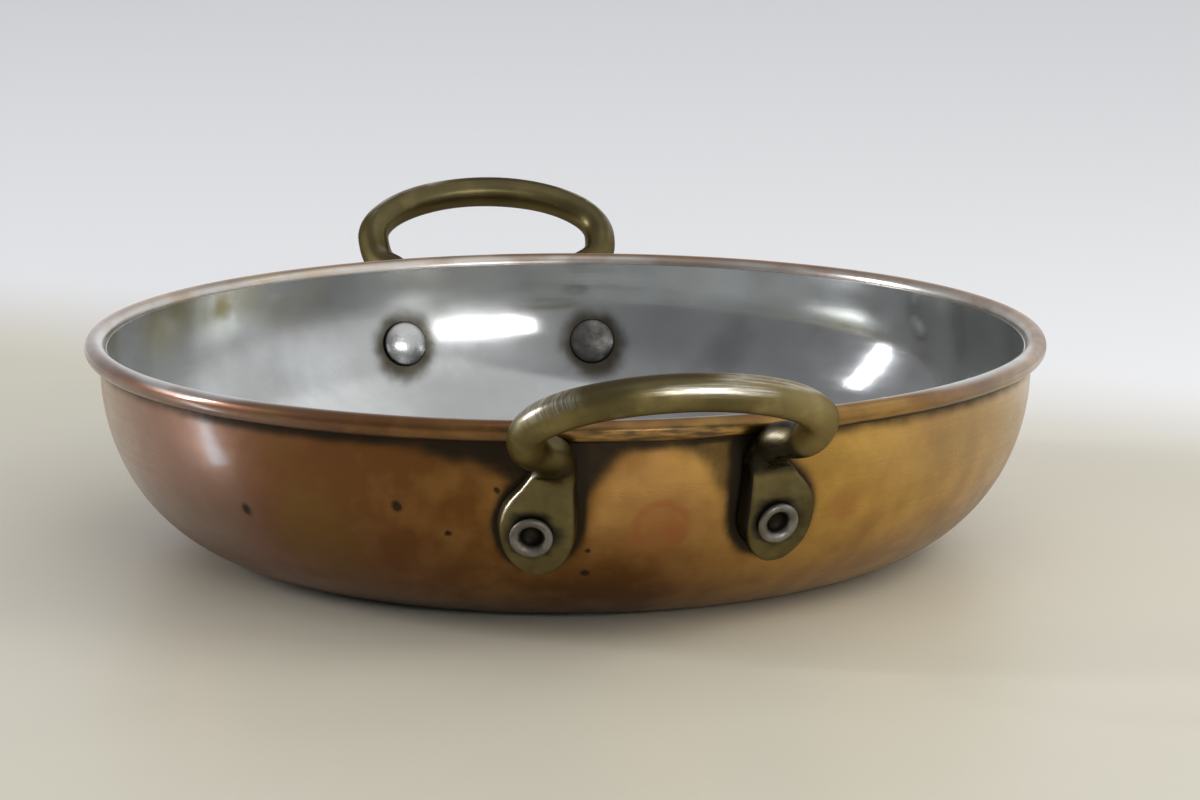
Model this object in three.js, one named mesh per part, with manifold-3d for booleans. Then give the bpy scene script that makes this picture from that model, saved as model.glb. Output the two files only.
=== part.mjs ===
// Round copper gratin pan: a spun copper body with a rolled rim, a tin lining, and two cast brass
// loop handles, each fixed to the wall by two semi-tubular rivets.
// Millimetres, +Z up. The origin is the centre of the flat underside, and the handles lie on the Y axis.
import * as THREE from 'three';
import { mergeVertices } from 'three/addons/utils/BufferGeometryUtils.js';
import Module from 'manifold-3d';

// Pan body
const RIM_DIAMETER = 180; // over the outside of the rolled rim
const PAN_HEIGHT = 40; // underside to the top of the rolled rim
const BASE_DIAMETER = 116; // flat underside
const UPRIGHT_WALL = 1.2; // plain upright wall between the curved flank and the rolled rim
const FLANK_FOOT_PULL = 13; // how far the flank keeps to the level of the base before it turns up
const FLANK_TOP_PULL = 23; // how far the flank keeps close to upright below the rim
const SHEET = 1; // copper thickness

// Rolled rim and the wire inside it
const WIRE_DIAMETER = 1.4;
const WIRE_CLEARANCE = 0.2; // all round the wire, inside the roll
const LIP_GAP = 0.4; // between the roll's free edge and the wall

// Tin lining
const LINING = 0.3;
const LINING_GAP = 0.1; // between the lining and the copper

// Handle castings
const BAR_DIAMETER = 6.4;
const LOOP_WIDTH = 48.6; // between the bar's centres where the loop is widest
const LOOP_REACH = 13.4; // from the rim's outside out to the widest point
const LOOP_RISE = 1.3; // from the rim's top up to the widest point
const LOOP_SLOPE = THREE.MathUtils.degToRad(36.6); // the bow's plane above level
const BOW_DEPTH = 13.8; // widest point to the crown of the bow, along the bow's plane
const PAD_SPACING = 40.4; // between the centres of the two feet, on the wall
const PAD_WIDTH = 13.8;
const PAD_TOE = 7.7; // foot's centre down to its lowest edge
const PAD_THICKNESS = 3.4;
const NECK_WIDTH = 6.8; // where a foot narrows into the bar
const NECK_HEIGHT = 12; // foot's centre up to the neck
const SHOULDER_HEIGHT = 8; // foot's centre up to the shoulder between its full width and the neck
const NECK_INSET = 3; // how far the neck leans towards the middle of the handle
const LEG_FOOT = 5; // foot's centre up to where the bar has sunk into the foot
const KNUCKLE_DROP = 5.6; // from the rim's top down to where the bar bends away from the wall
const KNUCKLE_REACH = 3; // from the rim's outside out to that bend
const KNUCKLE_PULL = 4; // roundness of the bend
const LEG_PULL = 10; // how far the bar keeps to the bow's slope below the widest point
const FOOT_OFFSET = 1.35; // the pair of feet sits this far to the right of the handle's middle
const BOW_OFFSET = 0.4; // and both bows sit this far to +X
const WALL_GAP = 0.3; // between a casting and the pan

// Rivets
const RIVET_SPACING = 40.2; // on the wall
const RIVET_OFFSET = 0.45; // the pair of rivets sits this far to the right of the handle's middle
const RIVET_DROP = 18.4; // from the rim's top down to the rivets
const SHANK_DIAMETER = 5;
const SHANK_CLEARANCE = 0.3; // all round the shank, in every hole
const HEAD_DIAMETER = 9.4;
const HEAD_HEIGHT = 2; // above the lining
const CLINCH_DIAMETER = 7.4; // rolled-over end outside the foot
const CLINCH_HEIGHT = 1.3;
const BORE_DIAMETER = 4.2; // hollow end of the rivet
const BORE_DEPTH = 3.5;
const SEAT_GAP = 0.3; // under the head and under the rolled-over end

// Facets
const RIM_FACETS = 64; // around the pan
const FLANK_STEPS = 8;
const ROLL_STEPS = 4; // on each half of the roll
const BAR_FACETS = 12;
const BAR_STEPS = 48;
const FOOT_STEPS = 8; // on each curve of a foot's outline
const RIVET_FACETS = 16;
const DOME_STEPS = 4; // on a rivet's dome and on its rolled-over edge
const WELD = 1e-4; // vertices closer than this are one vertex
const SEARCH_SHARE = 1e-6; // how closely a height is found on the flank, as a share of its length

const wasm = await Module();
wasm.setup();

// A closed geometry as a solid that can be cut and joined.
function solidOf(geometry) {
  const bare = geometry.clone();
  bare.deleteAttribute('normal');
  bare.deleteAttribute('uv');
  const welded = mergeVertices(bare, WELD);
  const corners = welded.index.array;
  const triangles = [];
  for (let i = 0; i < corners.length; i += 3) {
    const [a, b, c] = corners.subarray(i, i + 3);
    if (a !== b && b !== c && c !== a) triangles.push(a, b, c);
  }
  const vertProperties = new Float32Array(welded.attributes.position.array);
  const triVerts = new Uint32Array(triangles);
  return new wasm.Manifold(new wasm.Mesh({ numProp: 3, vertProperties, triVerts }));
}

function geometryOf(solid) {
  const mesh = solid.getMesh();
  const geometry = new THREE.BufferGeometry();
  geometry.setAttribute('position', new THREE.BufferAttribute(new Float32Array(mesh.vertProperties), 3));
  geometry.setIndex(new THREE.BufferAttribute(new Uint32Array(mesh.triVerts), 1));
  return geometry;
}

// A profile of radii and heights, listed anticlockwise, turned about the Z axis.
function turned(profile, facets) {
  const points = profile.map(([radius, height]) => new THREE.Vector2(radius, height));
  return new THREE.LatheGeometry(points, facets).rotateX(Math.PI / 2);
}

// An arc in a profile, from one angle to another, both ends included.
function arc(centre, radius, from, to, steps) {
  return Array.from({ length: steps + 1 }, (_, i) => {
    const angle = from + ((to - from) * i) / steps;
    return [centre[0] + radius * Math.cos(angle), centre[1] + radius * Math.sin(angle)];
  });
}

// The outside of the pan's wall, from the edge of the underside to the rolled rim
const rimRadius = RIM_DIAMETER / 2;
const rollBore = WIRE_DIAMETER / 2 + WIRE_CLEARANCE;
const rollRadius = rollBore + SHEET;
const rollCentre = [rimRadius - rollRadius, PAN_HEIGHT - rollRadius];
const wallRadius = rollCentre[0] - rollBore;
const flankTop = PAN_HEIGHT - 2 * rollRadius - UPRIGHT_WALL;
const flank = new THREE.CubicBezierCurve(
  new THREE.Vector2(BASE_DIAMETER / 2, 0),
  new THREE.Vector2(BASE_DIAMETER / 2 + FLANK_FOOT_PULL, 0),
  new THREE.Vector2(wallRadius, flankTop - FLANK_TOP_PULL),
  new THREE.Vector2(wallRadius, flankTop),
);

// The flank's outline moved outwards by a distance, or inwards where it is negative.
function flankOutline(outwards) {
  return Array.from({ length: FLANK_STEPS + 1 }, (_, i) => {
    const point = flank.getPoint(i / FLANK_STEPS);
    const along = flank.getTangent(i / FLANK_STEPS);
    return [point.x + along.y * outwards, point.y - along.x * outwards];
  });
}

// The wall's outside at a height: its radius, and its lean outwards from upright.
function wallAt(height) {
  let low = 0;
  let high = 1;
  while (high - low > SEARCH_SHARE) {
    const middle = (low + high) / 2;
    if (flank.getPoint(middle).y < height) low = middle;
    else high = middle;
  }
  const along = flank.getTangent(low);
  return { radius: flank.getPoint(low).x, lean: Math.atan2(along.x, along.y) };
}

// Everything inside the pan's outside, grown outwards, as one solid without the rolled rim.
function wallEnvelope(outwards) {
  const top = PAN_HEIGHT + LOOP_RISE + BOW_DEPTH;
  return solidOf(turned([
    [0, -outwards],
    ...flankOutline(outwards),
    [wallRadius + outwards, top],
    [0, top],
  ], RIM_FACETS));
}

function rollEnvelope(outwards) {
  const ring = arc(rollCentre, rollRadius + outwards, 0, 2 * Math.PI, 2 * ROLL_STEPS);
  return solidOf(turned(ring, RIM_FACETS));
}

// A frame on the wall at the rivets' height: X runs along the wall to the right of someone who faces
// the handle, Y runs up the wall, and Z points straight out of it. The front of the pan is towards -Y.
const rivetHeight = PAN_HEIGHT - RIVET_DROP;
const rivetWall = wallAt(rivetHeight);
function wallFrame(sideways) {
  const turn = Math.asin(sideways / rivetWall.radius);
  const outwards = new THREE.Vector3(Math.sin(turn), -Math.cos(turn), 0);
  const up = new THREE.Vector3(0, 0, 1);
  const normal = outwards.clone().multiplyScalar(Math.cos(rivetWall.lean));
  normal.addScaledVector(up, -Math.sin(rivetWall.lean));
  const rise = outwards.clone().multiplyScalar(Math.sin(rivetWall.lean));
  rise.addScaledVector(up, Math.cos(rivetWall.lean));
  const right = new THREE.Vector3().crossVectors(rise, normal);
  const place = outwards.clone().multiplyScalar(rivetWall.radius).setZ(rivetHeight);
  return new THREE.Matrix4().makeBasis(right, rise, normal).setPosition(place);
}
const sides = { left: -1, right: 1 };
const rivetFrame = (side) => wallFrame((sides[side] * RIVET_SPACING) / 2 + RIVET_OFFSET);
const padFrame = (side) => wallFrame((sides[side] * PAD_SPACING) / 2 + FOOT_OFFSET);

// A drill along each rivet of the front handle, and those of the back handle, half a turn round
const drillLength = 2 * (PAD_THICKNESS + SHEET + LINING + HEAD_HEIGHT + CLINCH_HEIGHT) + BAR_DIAMETER;
const drillRadius = SHANK_DIAMETER / 2 + SHANK_CLEARANCE;
function drill(side, turn) {
  const bit = new THREE.CylinderGeometry(drillRadius, drillRadius, drillLength, RIVET_FACETS);
  return solidOf(bit.rotateX(Math.PI / 2).applyMatrix4(rivetFrame(side)).rotateZ(turn));
}
function drilled(solid, turns) {
  let result = solid;
  for (const turn of turns) {
    for (const side of Object.keys(sides)) result = result.subtract(drill(side, turn));
  }
  return result;
}
const ends = { front: 0, back: Math.PI };

// Copper sheet: base, flank and wall, then the rim rolled outwards and down round its wire
function copperBody() {
  const lipAngle = -Math.acos((LIP_GAP - rollBore) / rollRadius);
  return drilled(solidOf(turned([
    [0, 0],
    ...flankOutline(0),
    ...arc(rollCentre, rollBore, Math.PI, 0, ROLL_STEPS),
    ...arc(rollCentre, rollBore, 0, lipAngle, ROLL_STEPS).slice(1),
    ...arc(rollCentre, rollRadius, lipAngle, 0, ROLL_STEPS),
    ...arc(rollCentre, rollRadius, 0, Math.PI, ROLL_STEPS).slice(1),
    ...flankOutline(-SHEET).reverse(),
    [0, SHEET],
  ], RIM_FACETS)), Object.values(ends));
}

// Tin wiped over the whole inside, up to the level of the roll's centre
function tinLining() {
  const back = SHEET + LINING_GAP;
  const face = back + LINING;
  return drilled(solidOf(turned([
    [0, back],
    ...flankOutline(-back),
    [wallRadius - back, rollCentre[1]],
    [wallRadius - face, rollCentre[1]],
    ...flankOutline(-face).reverse(),
    [0, face],
  ], RIM_FACETS)), Object.values(ends));
}

function rimWire() {
  return turned(arc(rollCentre, WIRE_DIAMETER / 2, 0, 2 * Math.PI, 2 * ROLL_STEPS), RIM_FACETS);
}

// The foot's outline on its wall frame: a round end below, leaning into a narrow neck above.
function footOutline(side) {
  const half = PAD_WIDTH / 2;
  const neck = -sides[side] * NECK_INSET;
  const outline = new THREE.Shape();
  outline.moveTo(neck + NECK_WIDTH / 2, NECK_HEIGHT);
  outline.lineTo(neck - NECK_WIDTH / 2, NECK_HEIGHT);
  outline.bezierCurveTo(neck - NECK_WIDTH / 2, SHOULDER_HEIGHT, -half, SHOULDER_HEIGHT, -half, 0);
  outline.absellipse(0, 0, half, PAD_TOE, Math.PI, 2 * Math.PI, false);
  outline.bezierCurveTo(half, SHOULDER_HEIGHT, neck + NECK_WIDTH / 2, SHOULDER_HEIGHT,
    neck + NECK_WIDTH / 2, NECK_HEIGHT);
  return outline;
}

// A thick blank in the shape of the foot, reaching through the wall, to be trimmed to the wall's curve
function footBlank(side) {
  const depth = 2 * (PAD_THICKNESS + PAD_WIDTH / 2);
  const options = { depth, bevelEnabled: false, curveSegments: FOOT_STEPS };
  const blank = new THREE.ExtrudeGeometry(footOutline(side), options).translate(0, 0, -depth / 2);
  return solidOf(blank.applyMatrix4(padFrame(side)));
}

// The bar's centre line, from the left foot up the wall, out round the bow and back to the right foot,
// with the bow moved to the right by an offset.
function barPath(offset) {
  const slope = new THREE.Vector3(0, -Math.cos(LOOP_SLOPE), Math.sin(LOOP_SLOPE));
  const middle = new THREE.Vector3(offset, -rimRadius - LOOP_REACH, PAN_HEIGHT + LOOP_RISE);
  const across = new THREE.Vector3(LOOP_WIDTH / 2, 0, 0);
  const crown = middle.clone().addScaledVector(slope, BOW_DEPTH);
  const roundness = (4 / 3) * (Math.SQRT2 - 1);
  const neckDepth = WALL_GAP + PAD_THICKNESS - BAR_DIAMETER / 2;
  const halves = {};
  for (const side of Object.keys(sides)) {
    const inset = -sides[side] * NECK_INSET;
    const frame = padFrame(side);
    const lean = inset / NECK_HEIGHT;
    const foot = new THREE.Vector3(lean * LEG_FOOT, LEG_FOOT, neckDepth).applyMatrix4(frame);
    const upTheWall = new THREE.Vector3(lean, 1, 0).transformDirection(frame);
    const neck = new THREE.Vector3(inset, 0, 0).applyMatrix4(frame);
    const knuckle = neck.setZ(0).setLength(rimRadius + KNUCKLE_REACH).setZ(PAN_HEIGHT - KNUCKLE_DROP);
    const widest = middle.clone().addScaledVector(across, sides[side]);
    const bend = widest.clone().sub(foot).normalize();
    halves[side] = [
      [
        foot,
        foot.clone().addScaledVector(upTheWall, KNUCKLE_PULL),
        knuckle.clone().addScaledVector(bend, -KNUCKLE_PULL),
        knuckle,
      ],
      [
        knuckle,
        knuckle.clone().addScaledVector(bend, KNUCKLE_PULL),
        widest.clone().addScaledVector(slope, -LEG_PULL),
        widest,
      ],
      [
        widest,
        widest.clone().addScaledVector(slope, BOW_DEPTH * roundness),
        crown.clone().addScaledVector(across, sides[side] * roundness),
        crown,
      ],
    ];
  }
  const path = new THREE.CurvePath();
  for (const stretch of halves.left) path.add(new THREE.CubicBezierCurve3(...stretch));
  for (const stretch of halves.right.reverse()) path.add(new THREE.CubicBezierCurve3(...stretch.reverse()));
  return path;
}

// One casting: the bar with its two feet, trimmed to lie on the wall and clear of the rolled rim. Half a
// turn round, the bow's offset changes sides, so that it is to +X again in the pan.
function handle(turn) {
  const path = barPath(BOW_OFFSET * Math.cos(turn));
  const section = new THREE.Shape().absarc(0, 0, BAR_DIAMETER / 2, 0, 2 * Math.PI, false);
  const barOptions = { steps: BAR_STEPS, curveSegments: BAR_FACETS / 2, extrudePath: path };
  let casting = solidOf(new THREE.ExtrudeGeometry(section, barOptions));
  const footSkin = wallEnvelope(WALL_GAP + PAD_THICKNESS);
  for (const side of Object.keys(sides)) casting = casting.add(footBlank(side).intersect(footSkin));
  casting = casting.subtract(wallEnvelope(WALL_GAP)).subtract(rollEnvelope(WALL_GAP));
  return drilled(casting, [ends.front]);
}

// A rivet: domed head inside the pan, shank through wall and foot, hollow end rolled over outside
function rivet(side) {
  const shank = SHANK_DIAMETER / 2;
  const liningFace = -(SHEET + LINING_GAP + LINING);
  const footFace = WALL_GAP + PAD_THICKNESS;
  const clinchRoll = CLINCH_HEIGHT / 2;
  const clinchCentre = [CLINCH_DIAMETER / 2 - clinchRoll, footFace + SEAT_GAP + clinchRoll];
  const headCrown = liningFace - SEAT_GAP - HEAD_HEIGHT;
  const stem = turned([
    [0, headCrown + HEAD_HEIGHT / 2],
    [shank, headCrown + HEAD_HEIGHT / 2],
    [shank, clinchCentre[1] - clinchRoll],
    ...arc(clinchCentre, clinchRoll, -Math.PI / 2, Math.PI / 2, DOME_STEPS),
    [BORE_DIAMETER / 2, clinchCentre[1]],
    [BORE_DIAMETER / 2, clinchCentre[1] - BORE_DEPTH],
    [0, clinchCentre[1] - BORE_DEPTH],
  ], RIVET_FACETS);
  const halfHead = HEAD_DIAMETER / 2;
  const dome = arc([0, 0], 1, -Math.PI / 2, 0, DOME_STEPS);
  const head = turned([
    ...dome.map(([x, y]) => [Math.max(x, 0) * halfHead, liningFace - SEAT_GAP + y * HEAD_HEIGHT]),
    [halfHead, liningFace + SHEET],
    [0, liningFace + SHEET],
  ], RIVET_FACETS);
  const frame = rivetFrame(side);
  const seatedHead = solidOf(head.applyMatrix4(frame)).intersect(wallEnvelope(liningFace - SEAT_GAP));
  return seatedHead.add(solidOf(stem.applyMatrix4(frame)));
}

const copper = { color: 0xa9613a, roughness: 0.35, metalness: 1 };
const tin = { color: 0x9c9a94, roughness: 0.45, metalness: 1 };
const iron = { color: 0x4a4541, roughness: 0.6, metalness: 1 };
const brass = { color: 0x6e5b39, roughness: 0.45, metalness: 1 };
const steel = { color: 0x9a958c, roughness: 0.3, metalness: 1 };

function piece(name, geometry, finish) {
  const mesh = new THREE.Mesh(geometry, new THREE.MeshStandardMaterial(finish));
  mesh.name = name;
  return mesh;
}

const pan = new THREE.Group();
pan.add(piece('copper_body', geometryOf(copperBody()), copper));
pan.add(piece('tin_lining', geometryOf(tinLining()), tin));
pan.add(piece('rim_wire', rimWire(), iron));
for (const [end, turn] of Object.entries(ends)) {
  const fitting = new THREE.Group();
  fitting.rotation.z = turn;
  fitting.add(piece(`handle_${end}`, geometryOf(handle(turn)), brass));
  for (const side of Object.keys(sides)) {
    fitting.add(piece(`rivet_${end}_${side}`, geometryOf(rivet(side)), steel));
  }
  pan.add(fitting);
}

export default pan;
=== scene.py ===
"""A round copper gratin pan, lined with tin, with two riveted brass loop handles, in a plain studio.

Sizes are in millimetres in the pan's own frame, and turn into metres where a mesh is made. The front
handle points towards -Y, and the pan stands on the floor at the origin.
"""

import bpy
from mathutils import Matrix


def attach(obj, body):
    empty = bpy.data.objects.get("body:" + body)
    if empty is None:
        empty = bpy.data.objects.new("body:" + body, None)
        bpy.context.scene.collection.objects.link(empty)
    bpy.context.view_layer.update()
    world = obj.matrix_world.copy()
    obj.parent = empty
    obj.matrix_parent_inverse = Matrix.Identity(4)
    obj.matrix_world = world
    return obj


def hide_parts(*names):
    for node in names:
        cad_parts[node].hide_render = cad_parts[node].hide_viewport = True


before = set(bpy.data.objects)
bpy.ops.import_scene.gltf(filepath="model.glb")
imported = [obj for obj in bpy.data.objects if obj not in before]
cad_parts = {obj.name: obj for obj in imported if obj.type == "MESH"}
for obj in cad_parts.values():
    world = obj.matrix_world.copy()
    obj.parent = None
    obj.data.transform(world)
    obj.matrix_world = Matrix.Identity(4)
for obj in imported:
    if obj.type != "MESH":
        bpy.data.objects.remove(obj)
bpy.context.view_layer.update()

import math

import bpy
import numpy as np
from mathutils import Matrix, Vector

# Copper body: one copper sheet about 1 mm thick, spun over a form into a shallow pan with a full
# curve from its flat base to its upright wall. The edge is rolled outwards and down over a wire.
MM = 0.001
BASE_RADIUS = 58.0
BASE_HOLLOW = 0.15
HOLLOW_RADIUS = 56.0
WALL_RADIUS = 87.2
WALL_WAVER = 0.09
FLANK_TOP = 35.0
FLANK_PULLS = ((71.0, 0.0), (87.2, 12.0))
FLANK_CURVE = ((BASE_RADIUS, 0), *FLANK_PULLS, (WALL_RADIUS, FLANK_TOP))
SEAM_HEIGHTS = (35.4, 35.8, 36.2, 36.6, 37.2)
SHEET = 1.0
ROLL_CENTRE = (88.1, 38.1)
ROLL_BORE = 0.9
ROLL_RADIUS = 1.9
LIP_GAP = 0.4
LIP_ANGLE = -math.acos((LIP_GAP - ROLL_BORE) / ROLL_RADIUS)
LIP_BEVEL = 0.15
LIP_TURN = 0.08
FLOOR_MIDDLE = 30.0
FIRST_RING = 4.0
FLOOR_RINGS = 14
FLANK_STEPS = 56
HIDDEN_STEPS = 24
TURN_STEPS = 512
SHARP_ANGLE = math.radians(50)


def bezier(points, steps):
    """Points and directions along a cubic curve, both ends included."""
    share = np.linspace(0, 1, steps + 1)[:, None]
    a, b, c, d = (np.array(point, float) for point in points)
    rest = 1 - share
    place = a * rest**3 + 3 * b * rest**2 * share + 3 * c * rest * share**2 + d * share**3
    along = (b - a) * rest**2 + 2 * (c - b) * rest * share + (d - c) * share**2
    return place, along / np.linalg.norm(along, axis=1)[:, None]


def flank(steps, outwards):
    """The pan's flank as radii and heights, from the base to the wall, moved outwards by a distance."""
    place, along = bezier(FLANK_CURVE, steps)
    return place + np.stack([along[:, 1], -along[:, 0]], 1) * outwards


def arc(centre, radius, start, end, steps):
    """Points along part of a circle, both ends included."""
    angle = np.linspace(start, end, steps + 1)
    return np.stack([centre[0] + radius * np.cos(angle), centre[1] + radius * np.sin(angle)], 1)


def spun_waver(turn, height):
    """How far the hand-finished wall lies inside a true circle at an angle and a height."""
    slow = 0.5 + 0.25 * np.sin(3 * turn + 0.6) + 0.25 * np.sin(5 * turn + 2.1 + height * 0.05)
    return WALL_WAVER * slow * np.clip(height / 15, 0, 1)


def new_piece(name, points, faces):
    """A mesh object from points in millimetres, shaded smooth but for its sharp corners."""
    mesh = bpy.data.meshes.new(name)
    mesh.from_pydata((np.asarray(points) * MM).tolist(), [], faces)
    mesh.validate()
    mesh.shade_smooth()
    mesh.set_sharp_from_angle(angle=SHARP_ANGLE)
    piece = bpy.data.objects.new(name, mesh)
    bpy.context.scene.collection.objects.link(piece)
    return piece


def skin_faces(rows, around):
    """Faces of a closed skin of rows of points. The two points after the rows close its ends."""
    first_end = rows * around
    last_end = first_end + 1
    last_row = first_end - around
    faces = []
    for i in range(around):
        j = (i + 1) % around
        faces.append((first_end, j, i))
        for a in range(0, last_row, around):
            b = a + around
            faces.append((a + i, a + j, b + j, b + i))
        faces.append((last_end, last_row + i, last_row + j))
    return faces


def turned_skin(profile, steps):
    """Points and faces of a skin turned about the Z axis. The profile starts and ends on the axis."""
    profile = np.asarray(profile, float)
    turn = np.arange(steps) * 2 * math.pi / steps
    radius = profile[1:-1, :1]
    height = np.broadcast_to(profile[1:-1, 1:], (len(radius), steps))
    rows = np.stack([radius * np.cos(turn), radius * np.sin(turn), height], -1)
    ends = [[0, 0, profile[0, 1]], [0, 0, profile[-1, 1]]]
    return np.concatenate([rows.reshape(-1, 3), ends]), skin_faces(len(radius), steps)


def wavered(points):
    """The points of a turned skin with the wall's slight unevenness."""
    radius = np.hypot(points[:, 0], points[:, 1])
    turn = np.arctan2(points[:, 1], points[:, 0])
    shrink = 1 - spun_waver(turn, points[:, 2]) / np.maximum(radius, 1)
    return points * np.stack([shrink, shrink, np.ones_like(shrink)], 1)


def set_masks(piece, masks):
    """Keeps named values from 0 to 1 on each point of the mesh, for its material to read."""
    for name, values in masks.items():
        mask = piece.data.attributes.new(name, "FLOAT", "POINT")
        mask.data.foreach_set("value", np.clip(values, 0, 1).astype(np.float32))


def points_of(piece):
    """The piece's points in millimetres."""
    places = np.zeros(len(piece.data.vertices) * 3)
    piece.data.vertices.foreach_get("co", places)
    return places.reshape(-1, 3) / MM


def rise(start, end, value):
    """0 at start, 1 at end, and smooth between them."""
    share = np.clip((value - start) / (end - start), 0, 1)
    return share * share * (3 - 2 * share)


def hump(middle, width, value):
    """1 at the middle, falling smoothly to about a third of that one width away."""
    return np.exp(-(((value - middle) / width) ** 2))


hollow_rings = np.linspace(FIRST_RING, HOLLOW_RADIUS, FLOOR_RINGS)
copper_profile = np.concatenate([
    [(0, BASE_HOLLOW)],
    [(radius, BASE_HOLLOW * (1 - (radius / HOLLOW_RADIUS) ** 2)) for radius in hollow_rings],
    flank(FLANK_STEPS, 0),
    [(WALL_RADIUS, height) for height in SEAM_HEIGHTS],
    arc(ROLL_CENTRE, ROLL_BORE, math.pi, LIP_ANGLE, 20),
    arc(ROLL_CENTRE, ROLL_RADIUS - LIP_BEVEL, LIP_ANGLE, LIP_ANGLE + LIP_TURN, 1),
    arc(ROLL_CENTRE, ROLL_RADIUS, LIP_ANGLE + 2 * LIP_TURN, math.pi, 36),
    flank(HIDDEN_STEPS, -SHEET)[::-1],
    [(FLOOR_MIDDLE, SHEET), (0, SHEET)],
])
copper_points, copper_faces = turned_skin(copper_profile, TURN_STEPS)
copper_body = new_piece("copper_pan", wavered(copper_points), copper_faces)

# Where the two handles touch the wall, as seen by someone who faces each of them
RIVET_HEIGHT = 21.6
RIVET_SPREAD = 20.1
RIVET_SHIFT = 0.45
FOOT_SPREAD = 20.2
FOOT_SHIFT = 1.35
RIGHT_LIFT = 0.8
FOOT_HALF_WIDTH = 6.9
FOOT_TOE = 7.7
SHOULDER_RISE = 7.2
NECK_HALF_WIDTH = 3.4
NECK_RISE = 12.0
NECK_END = 15.0
NECK_LEAN = 3.0


def from_handle(points, end):
    """Distance along the wall from the middle of the front or back handle, to the right of its user."""
    turn = np.arctan2(points[:, 0], -points[:, 1])
    if end == "back":
        turn = np.arctan2(-points[:, 0], points[:, 1])
    return turn * np.hypot(points[:, 0], points[:, 1])


def neck_share(up):
    """How far the foot's outline has drawn in to the neck, at a height above the rivet."""
    share = np.linspace(0, 1, 200)
    curve = 3 * SHOULDER_RISE * share * (1 - share) + NECK_RISE * share**3
    drawn = np.interp(np.clip(up, 0, NECK_RISE), curve, share)
    return drawn * drawn * (3 - 2 * drawn)


def foot_half_width(up):
    """Half the foot's width at a height above the rivet."""
    return FOOT_HALF_WIDTH + (NECK_HALF_WIDTH - FOOT_HALF_WIDTH) * neck_share(up)


def lift(side):
    """How much higher the right foot and its rivet sit."""
    return RIGHT_LIFT * (side > 0)


def foot_distance(points, end, side):
    """Distance on the wall from the outline of one foot, negative inside it."""
    sideways = from_handle(points, end) - (side * FOOT_SPREAD + FOOT_SHIFT)
    up = points[:, 2] - RIVET_HEIGHT - lift(side)
    round_end = (np.hypot(sideways / FOOT_HALF_WIDTH, up / FOOT_TOE) - 1) * FOOT_HALF_WIDTH
    neck = np.abs(sideways + side * NECK_LEAN * neck_share(up)) - foot_half_width(up)
    neck = np.where(up < 0, 99, np.maximum(neck, up - NECK_END))
    return np.minimum(round_end, neck)


# The arch on the wall between a handle's feet, where the smoke stops and the copper is rubbed bright
ARCH_MIDDLE = 0.6
ARCH_HALF_WIDTH = 12.0
ARCH_FOOT = 15.0
ARCH_RISE = 18.8
ARCH_POWER = 2.2


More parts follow.
